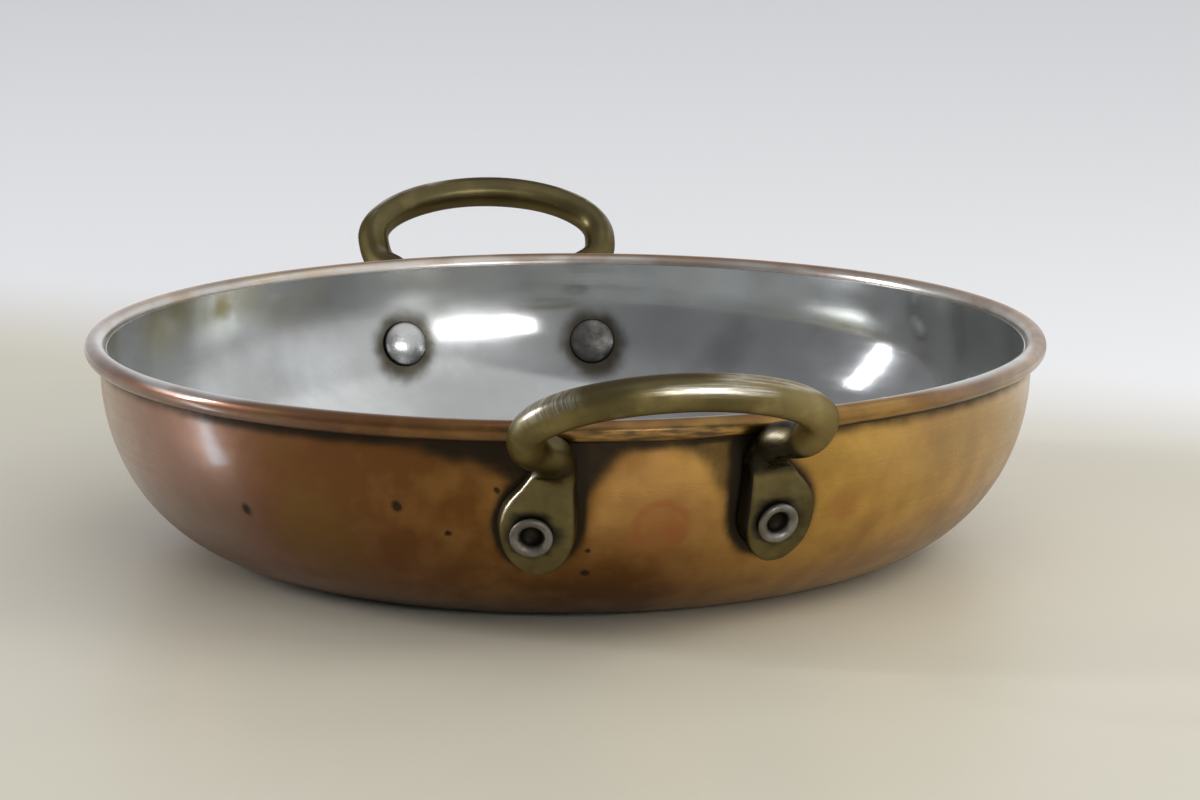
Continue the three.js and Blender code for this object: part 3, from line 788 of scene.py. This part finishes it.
def half_handle(end, side):
    """Stations of half a handle from a toe to the crown of the bow: place, way out, way to the right on
    the wall, half width and half thickness of the section, and its share of a foot's flat shape."""
    stations = []
    for angle in np.radians(TOE_ANGLES):
        up = -FOOT_TOE * math.cos(angle)
        place, out_of, right = foot_middle(side, up)
        inward = min(FOOT_EDGE, FOOT_TOE + up)
        rounded = FOOT_EDGE - math.sqrt(FOOT_EDGE**2 - (FOOT_EDGE - inward) ** 2)
        thick = FOOT_HALF_THICKNESS - rounded / 2
        place = place - out_of * (FOOT_HALF_THICKNESS - thick)
        stations.append((place, out_of, right, FOOT_HALF_WIDTH * math.sin(angle), thick, 1))
    for up in np.linspace(0, LEG_START, 8)[1:-1]:
        place, out_of, right = foot_middle(side, up)
        stations.append((place, out_of, right, foot_half_width(up), FOOT_HALF_THICKNESS, 1))
    start, out_of, right = foot_middle(side, LEG_START)
    leaving = unit(foot_middle(side, LEG_START + 0.2)[0] - start)
    neck = on_wall(side * FOOT_SPREAD + FOOT_SHIFT, 0)
    neck = neck[0] - neck[1] * side * NECK_LEAN
    knuckle = np.append(unit(neck[:2]) * KNUCKLE_RADIUS, KNUCKLE_HEIGHT + lift(side))
    middle = np.array([BOW_SHIFT[end], *BOW_WIDEST])
    across = np.array([side * BOW_HALF_WIDTH, 0, 0])
    widest = middle + across
    crown = middle + up_the_bow * BOW_DEPTH
    bend = unit(widest - start)
    roundness = 4 / 3 * (math.sqrt(2) - 1)
    bow_pull = up_the_bow * BOW_DEPTH * roundness
    leg_pull = up_the_bow * LEG_PULL
    stretches = (
        ((start, start + leaving * LEG_LEAVING, knuckle - bend * KNUCKLE_PULL, knuckle), LEG_STEPS),
        ((knuckle, knuckle + bend * KNUCKLE_PULL, widest - leg_pull, widest), SHOULDER_STEPS),
        ((widest, widest + bow_pull, crown + across * roundness, crown), BOW_STEPS),
    )
    for number, (points, steps) in enumerate(stretches):
        places, _ = bezier(points, steps)
        for i, place in enumerate(places[:-1]):
            share = i / steps
            if number == 0:
                width = foot_half_width(LEG_START + share * LEG_TAPER)
                width = width + (BAR_RADIUS - NECK_HALF_WIDTH) * rise(0.6, 1, share)
                thick = FOOT_HALF_THICKNESS + (BAR_RADIUS - FOOT_HALF_THICKNESS) * rise(0.1, 1, share)
                foot = 1 - rise(0.05, 0.8, share)
            else:
                width = thick = BAR_RADIUS
                foot = 0
            turned = rise(0, 2, number + share)
            outer = unit(out_of * (1 - turned) + under_the_bow * turned)
            stations.append((place, outer, right, width, thick, foot))
    stations.append((crown, under_the_bow, right, BAR_RADIUS, BAR_RADIUS, 0))
    return stations


def bar_section(width, thick, foot):
    """A rounded oblong round the bar, as distances across it and out of it, starting on the right. A
    foot has small corners, smaller ones at the wall, and its sides draw in towards its face."""
    whole = min(width, thick)
    front, heel = (min(edge, whole) * foot + whole * (1 - foot) for edge in (FOOT_EDGE, HEEL_EDGE))
    bends = []
    corners = ((1, 1, front), (-1, 1, front), (-1, -1, heel), (1, -1, heel))
    for quarter, (right, out_of, edge) in enumerate(corners):
        corner = np.array([right * (width - edge), out_of * (thick - edge)])
        angle = quarter * math.pi / 2 + np.linspace(0, math.pi / 2, CORNER_STEPS)
        bends.append(corner + edge * np.stack([np.cos(angle), np.sin(angle)], 1))
    points = []
    for bend, ahead in zip(bends, bends[1:] + bends[:1]):
        points.extend(bend)
        for share in np.linspace(0, 1, SIDE_STEPS + 2)[1:-1]:
            points.append(bend[-1] * (1 - share) + ahead[0] * share)
    section = np.array(points)
    draft = FOOT_DRAFT * foot * width / FOOT_HALF_WIDTH**2
    section[:, 0] *= 1 - draft * (section[:, 1] / thick + 1) / 2
    return section


def clear_of_pan(points):
    """The points moved straight out of the pan's wall and rolled rim where they would touch them."""
    radius = np.hypot(points[:, 0], points[:, 1])
    height = points[:, 2]
    wall = np.interp(height, fine_flank[:, 1], fine_flank[:, 0]) + WALL_CLEARANCE
    clear_roll = ROLL_RADIUS + ROLL_CLEARANCE
    roll_reach = np.sqrt(np.clip(clear_roll**2 - (height - ROLL_CENTRE[1]) ** 2, 0, None))
    roll = np.where(roll_reach > 0, ROLL_CENTRE[0] + roll_reach, 0)
    least = np.maximum(wall, roll)
    push = np.maximum(radius, least) / radius
    return points * np.stack([push, push, np.ones_like(push)], 1)


def unfolded(rings, along):
    """The rings of a loft, evened out where a tight bend would make one ring cross the next."""
    for _ in range(EVENING_ROUNDS):
        step = np.einsum("rkc,rc->rk", rings[1:] - rings[:-1], along[1:] + along[:-1])
        crossing = np.zeros(rings.shape[:2])
        crossing[1:] = step < LEAST_STEP
        crossing[:-1] += step < LEAST_STEP
        for _ in range(2):
            crossing[1:-1] = np.maximum(crossing[1:-1], 0.9 * np.maximum(crossing[2:], crossing[:-2]))
        between = (rings[2:] + rings[:-2]) / 2
        rings[1:-1] += 0.5 * np.clip(crossing[1:-1, :, None], 0, 1) * (between - rings[1:-1])
    return rings


def handle_casting(end):
    """Points and faces of one casting, lofted from the left toe round the bow to the right toe."""
    stations = half_handle(end, -1) + half_handle(end, 1)[-2::-1]
    places = np.array([station[0] for station in stations])
    along = np.gradient(places, axis=0)
    along /= np.linalg.norm(along, axis=1)[:, None]
    rings = []
    for number, (place, out_of, level, width, thick, foot) in enumerate(stations):
        way = unit(along[number] - level * np.dot(along[number], level) * foot)
        out = unit(out_of - way * np.dot(out_of, way))
        right = np.cross(way, out)
        section = bar_section(width, thick, foot)
        if foot == 0:
            angle = np.degrees(np.arctan2(-section[:, 1], -section[:, 0]))
            worn = hump(38, 20, angle) * 0.05 + hump(-20, 16, angle) * 0.02
            swell = 1 - worn - 0.006 * math.sin(number * 0.35)
            section = section * np.stack([swell, swell], 1)
        ring = place + section[:, :1] * right + section[:, 1:] * out
        if width > BAR_RADIUS + 0.05:
            ring = ring - out * (section[:, :1] ** 2 / (2 * WALL_RADIUS))
        rings.append(ring)
    rings = unfolded(np.array(rings), along)
    toes = [places[0] - along[0] * TOE_CAP, places[-1] + along[-1] * TOE_CAP]
    points = clear_of_pan(np.concatenate([*rings, toes]))
    return points, skin_faces(len(rings), len(rings[0]))


def rivet_axis(side):
    """The matrix that stands a rivet's own Z axis straight out of the wall, in millimetres."""
    place, right, rising, out_of = on_wall(side * RIVET_SPREAD + RIVET_SHIFT, lift(side))
    return np.stack([right, rising, out_of], 1), place


def drilled_handle(end):
    """The casting with a hole through each foot for its rivet."""
    name = f"loop_handle_{end}"
    points, faces = handle_casting(end)
    casting = new_piece(name, points, faces)
    drills = []
    for side in (-1, 1):
        turned, place = rivet_axis(side)
        bit = [(0, DRILL_START), (HOLE_RADIUS, DRILL_START), (HOLE_RADIUS, DRILL_END), (0, DRILL_END)]
        bit_points, bit_faces = turned_skin(bit, DRILL_STEPS)
        drills.append(new_piece(f"{name}_drill", bit_points @ turned.T + place, bit_faces))
        cut = casting.modifiers.new("hole", "BOOLEAN")
        cut.object = drills[-1]
        cut.operation = "DIFFERENCE"
        cut.solver = "EXACT"
    depsgraph = bpy.context.evaluated_depsgraph_get()
    mesh = bpy.data.meshes.new_from_object(casting.evaluated_get(depsgraph))
    casting.modifiers.clear()
    casting.data = mesh
    for drill in drills:
        bpy.data.objects.remove(drill)
    return casting


def facing(normals, way, start, end):
    """How squarely the skin faces a way: 0 up to the start and 1 from the end."""
    return rise(start, end, normals @ unit(np.array(way)))


def handle_masks(piece, end):
    """Grime with painted shade, painted highlights as worn brass, painted light and shade on the skin,
    and the shares of the way round the bow and round its bar, of a handle that still lies in the front
    place."""
    places = points_of(piece)
    sideways = places[:, 0]
    height = places[:, 2]
    radius = np.hypot(places[:, 0], places[:, 1])
    normals = np.zeros(len(piece.data.vertices) * 3)
    piece.data.vertices.foreach_get("normal", normals)
    normals = normals.reshape(-1, 3)
    right_side = sideways > 0
    is_front = end == "front"

    # Painted shade under the bow, on the front right leg, low on the feet and on the right foot's left
    # side;
    # grime with painted shade at the wall, and grime round the rivets
    from_wall = radius - np.interp(height, fine_flank[:, 1], fine_flank[:, 0])
    under_bow = hump(32.6, 2.4, height) * rise(99, 95.5, radius)
    dark_leg = rise(104, 100.5, radius) * rise(28, 31.5, height)
    shaded_side = right_side * rise(0.35, 0.7, -normals[:, 0]) * rise(34, 31, height)
    grime_and_shade = rise(1.2, 0.4, from_wall) * 0.85
    grime_and_shade = np.maximum(grime_and_shade, np.where(right_side * is_front, 0.72 * dark_leg, 0.5 * under_bow))
    grime_and_shade = np.maximum(grime_and_shade, 0.34 * rise(33, 28, height))
    for side in (-1, 1):
        turned, place = rivet_axis(side)
        local = (places - place) @ turned
        grime_and_shade = np.maximum(grime_and_shade, rise(5.6, 3.7, np.hypot(local[:, 0], local[:, 1])) * 0.85)
    grime_and_shade = np.maximum(grime_and_shade, 0.9 * shaded_side)

    # Painted highlights in bright worn brass, where the lamps' highlights fall: the edges of the feet and
    # knuckles that face up and to the left, and the bow's top, ridge and left bend
    rubbed_left = rise(19, 22, height) * rise(33, 31, height)
    rubbed = np.where(right_side, 0.55 * rise(33, 35, height), rubbed_left) * rise(104, 101, radius)
    rubbed = rubbed * facing(normals, (-0.763, -0.506, 0.403), 0.86, 0.97)
    grime_and_shade = grime_and_shade * (1 - 0.95 * rubbed)
    top_highlight = facing(normals, (0.1, -0.2, 0.97), 0.72, 0.94)
    top_highlight = top_highlight * rise(3, 11, sideways) * rise(27, 22, sideways)
    ridge_highlight = facing(normals, (0.1, -0.93, 0.34), 0.95, 0.995)
    ridge_highlight = ridge_highlight * rise(-9, -2, sideways) * rise(20, 14, sideways)
    left_bend_highlight = facing(normals, (-0.55, -0.35, 0.75), 0.55, 0.9) * rise(-16, -20, sideways)
    worn = np.maximum(np.maximum(top_highlight, ridge_highlight), left_bend_highlight) * rise(96, 101, radius)
    worn = np.maximum(worn, rubbed)

    # Skin: painted light, paler and golden, at the front bow's right; painted shade, dull and dark, on
    # the upward faces of a bow's left, on the legs and all over the back one
    out_on_bow = rise(99, 104, radius)
    golden_painted_light = rise(9, 23, sideways) * out_on_bow * is_front
    shaded_bow_tops = rise(0.2, 0.75, normals[:, 2]) * rise(10, 0, sideways) * out_on_bow
    shaded_legs = 0.7 * rise(106, 102, radius) * rise(29, 32, height) * (1 - right_side * is_front)
    dull = np.maximum(np.maximum(shaded_bow_tops, shaded_legs), 0.7 * (not is_front))

    bow = places - np.array([0, *BOW_WIDEST])
    round_bow = np.arctan2(bow @ up_the_bow / BOW_DEPTH, bow[:, 0] / BOW_HALF_WIDTH) / math.pi
    round_bar = 0.5 + bow @ under_the_bow / (2 * BAR_RADIUS + 0.4)
    # The worn mask holds painted highlights, the golden one painted light, and the dull one painted shade
    return {
        "grime_and_shade": grime_and_shade, "worn": worn, "golden_painted_light": golden_painted_light, "dull": dull,
        "round_bow": round_bow, "round_bar": round_bar,
    }


PATINA_DARK = (0.115, 0.090, 0.032)
PATINA = (0.215, 0.170, 0.064)
PATINA_PALE = (0.38, 0.30, 0.13)
PATINA_SHADED = (0.085, 0.068, 0.027)
BRASS_HIGHLIGHT_AND_WEAR = (0.86, 0.81, 0.68)
BRASS_GRIME_AND_SHADE = (0.018, 0.015, 0.010, 1)
EDGE_TINT = (0.30, 0.26, 0.16, 1)
FILE_MARKS = 330.0
FILE_DRIFT = (110.0, 110.0, 110.0)
RUB_LENGTHS = 9.0
RUB_LINES = 15.0

brass, tree, shader = bare_material("patinated_brass")
shade = placed(tree, patches, Scale=70.0, Shift=1.9, Low=0.36, High=0.66)["Mask"]
colour = mixed(tree, shade, PATINA_DARK, PATINA)
# Paler patches, and painted light at the front bow's right end
pale = placed(tree, patches, Scale=190.0, Shift=8.3, Low=0.5, High=0.74)["Mask"]
pale = plus(tree, times(tree, pale, 0.35), times(tree, mask_of(tree, "golden_painted_light"), 0.6), clamp=True)
colour = mixed(tree, pale, colour, PATINA_PALE)
# Painted shade: darker dull skin on the bows' upper left, on the legs and on the back handle
colour = mixed(tree, times(tree, mask_of(tree, "dull"), 0.85), colour, PATINA_SHADED)

# Scratches: filed across the bar at the bow's sides, rubbed along it on the crown
round_bow = mask_of(tree, "round_bow")
drifting = vector_node(tree, "MULTIPLY", own_place(tree), FILE_DRIFT)[0]
filed = combined(tree, times(tree, round_bow, FILE_MARKS))
crosswise = noise(tree, vector_node(tree, "ADD", drifting, filed)[0], 1.0, 3.0)
round_bar = mask_of(tree, "round_bar")
rubbed = combined(tree, times(tree, round_bow, RUB_LENGTHS), times(tree, round_bar, RUB_LINES))
lengthwise = noise(tree, rubbed, 1.0, 3.0)
on_crown = ranged(tree, round_bow, 0.74, 0.62, kind="LINEAR")
scratch = mixed_value(tree, on_crown, crosswise, lengthwise)
scratched = ranged(tree, scratch, 0.43, 0.6, kind="LINEAR")
# Painted highlights: bright brass where the worn mask is high, broken up by the scratches
worn_patch = placed(tree, patches, Scale=150.0, Shift=3.1, Low=0.34, High=0.56)["Mask"]
highlight_and_wear_share = times(tree, mask_of(tree, "worn"), plus(tree, times(tree, scratched, 0.62), 0.24))
highlight_and_wear_share = times(tree, highlight_and_wear_share, mixed_value(tree, worn_patch, 0.4, 1.0))
colour = mixed(tree, highlight_and_wear_share, colour, BRASS_HIGHLIGHT_AND_WEAR)
roughness = plus(tree, mixed_value(tree, highlight_and_wear_share, 0.4, 0.22), swing(tree, scratch, 0.15))
surface = placed(tree, grime_and_shade_coat, Colour=colour, Roughness=roughness, Grime=mask_of(tree, "grime_and_shade"),
                 Grime_Colour=BRASS_GRIME_AND_SHADE, Grime_Roughness=0.6, Break_Scale=420.0, Break=0.3)
cast_skin = placed(tree, patches, Scale=900.0, Shift=0.7, Low=0.3, High=0.7)["Mask"]
link_surface(tree, shader, surface)
link_relief(tree, shader, plus(tree, times(tree, scratch, 0.4), times(tree, cast_skin, 0.4)), 0.08, 0.3)
shader["Metallic"].default_value = 1.0
shader["Specular Tint"].default_value = EDGE_TINT
tree.links.new(mixed_value(tree, highlight_and_wear_share, 0.25, 1.0), shader["Coat Weight"])
shader["Coat Roughness"].default_value = 0.2

HALF_TURN = Matrix.Rotation(math.pi, 4, "Z")
for end in ("front", "back"):
    handle = drilled_handle(end)
    handle.data.shade_smooth()
    handle.data.set_sharp_from_angle(angle=SHARP_ANGLE)
    set_masks(handle, handle_masks(handle, end))
    if end == "back":
        handle.data.transform(HALF_TURN)
    handle.data.materials.clear()
    handle.data.materials.append(brass)
    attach(handle, "root")
    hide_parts(f"handle_{end}")

# Rivets: four semi-tubular steel rivets. The domed head is inside the pan, tinned over with the lining,
# the shank goes through wall and foot, and the hollow end is rolled over outside into a bright ring.
HEAD_RADIUS = 4.7
HEAD_DOME = 2.0
HEAD_EDGE = 0.5
HEAD_GAP = 0.3
SHANK_RADIUS = 2.5
RING_RADIUS = 3.7
RING_ROLL = 0.65
RING_GAP = 0.1
BORE_RADIUS = 1.9
BORE_DEPTH = 1.0
RIVET_STEPS = 64
head_seat = -(LINING_FACE + HEAD_GAP)
ring_seat = FOOT_GAP + 2 * FOOT_HALF_THICKNESS + RING_GAP
ring_middle = (RING_RADIUS - RING_ROLL, ring_seat + RING_ROLL)
ring_top = ring_seat + 2 * RING_ROLL
dome_angle = np.linspace(-math.pi / 2, 0, 18)
dome_reach = np.abs(np.cos(dome_angle)) * HEAD_RADIUS
rivet_profile = np.concatenate([
    np.stack([dome_reach, head_seat + np.sin(dome_angle) * HEAD_DOME], 1),
    [(HEAD_RADIUS, head_seat + HEAD_EDGE), (SHANK_RADIUS, head_seat + HEAD_EDGE)],
    [(SHANK_RADIUS, ring_seat)],
    arc(ring_middle, RING_ROLL, -math.pi / 2, math.pi / 2, 12),
    [(BORE_RADIUS + 0.75, ring_top - 0.08), (BORE_RADIUS + 0.4, ring_top - 0.32)],
    [(BORE_RADIUS + 0.12, ring_seat + RING_ROLL - 0.1), (BORE_RADIUS - 0.1, ring_seat)],
    [(BORE_RADIUS - 0.4, ring_seat - BORE_DEPTH * 0.6)],
    [(BORE_RADIUS - 1.0, ring_seat - BORE_DEPTH * 0.9), (0, ring_seat - BORE_DEPTH)],
])
rivet_points, rivet_faces = turned_skin(rivet_profile, RIVET_STEPS)
rivet_reach = np.hypot(rivet_points[:, 0], rivet_points[:, 1])
rivet_level = rivet_points[:, 2]
on_head = rivet_level < 0
# Grime and painted shade: dark down the hollow bore, and round the head's and the ring's edges where they
# meet the metal
in_bore = (rivet_reach < BORE_RADIUS + 0.3) * (rivet_level > ring_seat - BORE_DEPTH - 1)
bore_grime_and_shade = in_bore * rise(ring_seat + 1.0, ring_seat - 0.1, rivet_level)
bore_grime_and_shade = bore_grime_and_shade * (0.72 + 0.2 * rise(0.4, 1.6, rivet_reach))
head_edge = rise(4.0, HEAD_RADIUS, rivet_reach)
ring_foot = rise(ring_seat + 0.7, ring_seat, rivet_level)
at_edges = np.where(on_head, head_edge, ring_foot)
rivet_grime_and_shade = np.maximum(bore_grime_and_shade, at_edges * (rivet_reach > SHANK_RADIUS) * 0.9)
rivet_grime_and_shade = np.maximum(rivet_grime_and_shade, 0.12 * on_head)

STEEL = (0.23, 0.225, 0.21)
STEEL_BROWN = (0.13, 0.10, 0.07)
STEEL_GRIME_AND_SHADE = (0.022, 0.019, 0.014, 1)
HEAD_TIN = (0.56, 0.57, 0.565)

steel, tree, shader = bare_material("rubbed_steel")
tinned = mask_of(tree, "tinned")
dull = placed(tree, patches, Scale=330.0, Shift=2.8, Low=0.38, High=0.62)["Mask"]
colour = mixed(tree, times(tree, dull, 0.6), STEEL, STEEL_BROWN)
colour = mixed(tree, tinned, colour, HEAD_TIN)
roughness = mixed_value(tree, tinned, mixed_value(tree, dull, 0.3, 0.55), 0.24)
surface = placed(tree, grime_and_shade_coat, Colour=colour, Roughness=roughness, Grime=mask_of(tree, "grime_and_shade"),
                 Grime_Colour=STEEL_GRIME_AND_SHADE, Grime_Roughness=0.55, Break_Scale=520.0, Break=0.5)
pitted = placed(tree, patches, Scale=1300.0, Shift=5.5, Low=0.35, High=0.7)["Mask"]
link_surface(tree, shader, surface)
link_relief(tree, shader, pitted, 0.06, 0.3)
shader["Metallic"].default_value = 1.0

for end in ("front", "back"):
    for side, side_name in ((-1, "left"), (1, "right")):
        turned, place = rivet_axis(side)
        rivet = new_piece(f"rivet_{end}_{side_name}_turned", rivet_points @ turned.T + place, rivet_faces)
        # The back handle's left head is darker and less tinned over
        darker_head = 0.5 * on_head * (end == "back" and side == -1)
        set_masks(rivet, {"grime_and_shade": np.maximum(rivet_grime_and_shade, darker_head), "tinned": 0.8 * on_head - darker_head})
        if end == "back":
            rivet.data.transform(HALF_TURN)
        rivet.data.materials.append(steel)
        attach(rivet, "root")
        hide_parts(f"rivet_{end}_{side_name}")

# Studio, in metres: a plain pale floor that grows whiter away from the pan, and a pale surround that is
# brighter behind and to the right. Window-like lights stand at the left and in front, with a broad soft
# one above, a bluish strip low at the pan's left, and a small warm one for the floor at its right.
FLOOR_NEAR = (0.70, 0.662, 0.54)
FLOOR_FAR = (0.93, 0.935, 0.945)
FLOOR_TURN = (0.604, 0.798, 0.0)
FLOOR_REACH = 6.0

floor_mesh = bpy.data.meshes.new("floor")
floor_corners = [(x * FLOOR_REACH, y * FLOOR_REACH, 0) for x, y in ((-1, -1), (1, -1), (1, 1), (-1, 1))]
floor_mesh.from_pydata(floor_corners, [], [(0, 1, 2, 3)])
floor = bpy.data.objects.new("floor", floor_mesh)
bpy.context.scene.collection.objects.link(floor)
pale_floor, tree, shader = bare_material("pale_floor")
away = vector_node(tree, "DOT_PRODUCT", own_place(tree), FLOOR_TURN)["Value"]
faint = placed(tree, patches, Scale=9.0, Shift=4.0, Low=0.3, High=0.7)["Mask"]
near_tone = mixed(tree, faint, FLOOR_NEAR, [tone * 0.94 for tone in FLOOR_NEAR])
tree.links.new(mixed(tree, ranged(tree, away, 0.1, 0.21), near_tone, FLOOR_FAR), shader["Base Color"])
shader["Roughness"].default_value = 0.42
shader["Specular IOR Level"].default_value = 0.4
floor_mesh.materials.append(pale_floor)

CAMERA_PLACE = (-0.12303, -0.73042, 0.172634)
CAMERA_LOOK = (0.171311, 0.965901, -0.194132)
CAMERA_RIGHT = (0.984588, -0.174885, -0.001293)
CAMERA_LENS = 119.96
toward_camera = unit(np.array([CAMERA_PLACE[0], CAMERA_PLACE[1], 0]))
picture_right = np.array([-toward_camera[1], toward_camera[0], 0])


def studio_way(turn, height):
    """A direction from the pan: the turn is 0 towards the camera and grows to the picture's right."""
    turn = math.radians(turn)
    height = math.radians(height)
    level = toward_camera * math.cos(turn) + picture_right * math.sin(turn)
    return level * math.cos(height) + np.array([0, 0, math.sin(height)])


def soft_light(name, place, way, width, tall, glow, colour=(1, 1, 1)):
    """A rectangular light that shines away from its way, given by its brightness as it is seen."""
    light = bpy.data.lights.new(name, "AREA")
    light.shape = "RECTANGLE"
    light.size = width
    light.size_y = tall
    light.energy = glow * math.pi * width * tall
    light.color = colour
    lamp = bpy.data.objects.new(name, light)
    bpy.context.scene.collection.objects.link(lamp)
    lamp.location = place
    lamp.rotation_euler = Vector(way).to_track_quat("Z", "Y").to_euler()
    lamp.visible_camera = False
    return lamp


WINDOW_DISTANCE = 1.3
PANEL_DISTANCE = 1.5
STRIP_PLACE = (-0.165, -0.021, 0.004)
STRIP_TURN = math.radians(-18)
FILLED_PLACE = (0.1, -0.04, 0.0)
FILL_DISTANCE = 0.5
COOL = (0.94, 0.95, 1.0)
BLUISH = (0.5, 0.78, 1.0)
WARM = (1.0, 0.96, 0.88)

left_way = studio_way(-96, 20)
soft_light("left_window", left_way * WINDOW_DISTANCE, left_way, width=0.05, tall=0.5, glow=70.0,
           colour=COOL)
front_way = studio_way(23, 18.5)
soft_light("front_window", front_way * WINDOW_DISTANCE, front_way, width=0.6, tall=0.21, glow=8.0)
top_way = studio_way(70, 68)
soft_light("top_panel", top_way * PANEL_DISTANCE, top_way, width=1.8, tall=1.6, glow=0.55)
low_strip = soft_light("low_strip", STRIP_PLACE, (0, 0, -1), width=0.10, tall=0.010, glow=4.5,
                       colour=BLUISH)
low_strip.rotation_euler = (math.pi, 0, STRIP_TURN)
fill_way = studio_way(80, 42)
fill_place = np.array(FILLED_PLACE) + fill_way * FILL_DISTANCE
floor_fill = soft_light("floor_fill", fill_place, fill_way, width=0.3, tall=0.3, glow=3.0, colour=WARM)
floor_fill.visible_glossy = False

DARK_SIDE = (0.25, 0.25, 0.26)
BRIGHT_SIDE = (0.88, 0.89, 0.91)
OVERHEAD = (0.42, 0.42, 0.43)

surround = bpy.data.worlds.new("surround")
surround.use_nodes = True
tree = surround.node_tree
tree.nodes.clear()
way = new_node(tree, "ShaderNodeTexCoord").outputs["Generated"]
toward_bright = vector_node(tree, "DOT_PRODUCT", way, studio_way(114, 0))["Value"]
glow = mixed(tree, ranged(tree, toward_bright, -0.75, 0.6), DARK_SIDE, BRIGHT_SIDE)
upward = new_node(tree, "ShaderNodeSeparateXYZ", {0: way}).outputs[2]
glow = mixed(tree, ranged(tree, upward, 0.45, 0.85), glow, OVERHEAD)
backdrop = new_node(tree, "ShaderNodeBackground", {"Color": glow, "Strength": 1.0})
new_node(tree, "ShaderNodeOutputWorld", {"Surface": backdrop.outputs[0]})
bpy.context.scene.world = surround
bpy.context.scene.view_settings.view_transform = "Standard"

lens = bpy.data.cameras.new("camera")
lens.lens = CAMERA_LENS
lens.sensor_width = 36.0
lens.clip_start = 0.05
lens.clip_end = 50.0
camera = bpy.data.objects.new("camera", lens)
bpy.context.scene.collection.objects.link(camera)
look = Vector(CAMERA_LOOK).normalized()
right = Vector(CAMERA_RIGHT).normalized()
turned = Matrix((right, right.cross(look), -look)).transposed().to_4x4()
camera.matrix_world = Matrix.Translation(CAMERA_PLACE) @ turned
bpy.context.scene.camera = camera

bpy.context.view_layer.update()
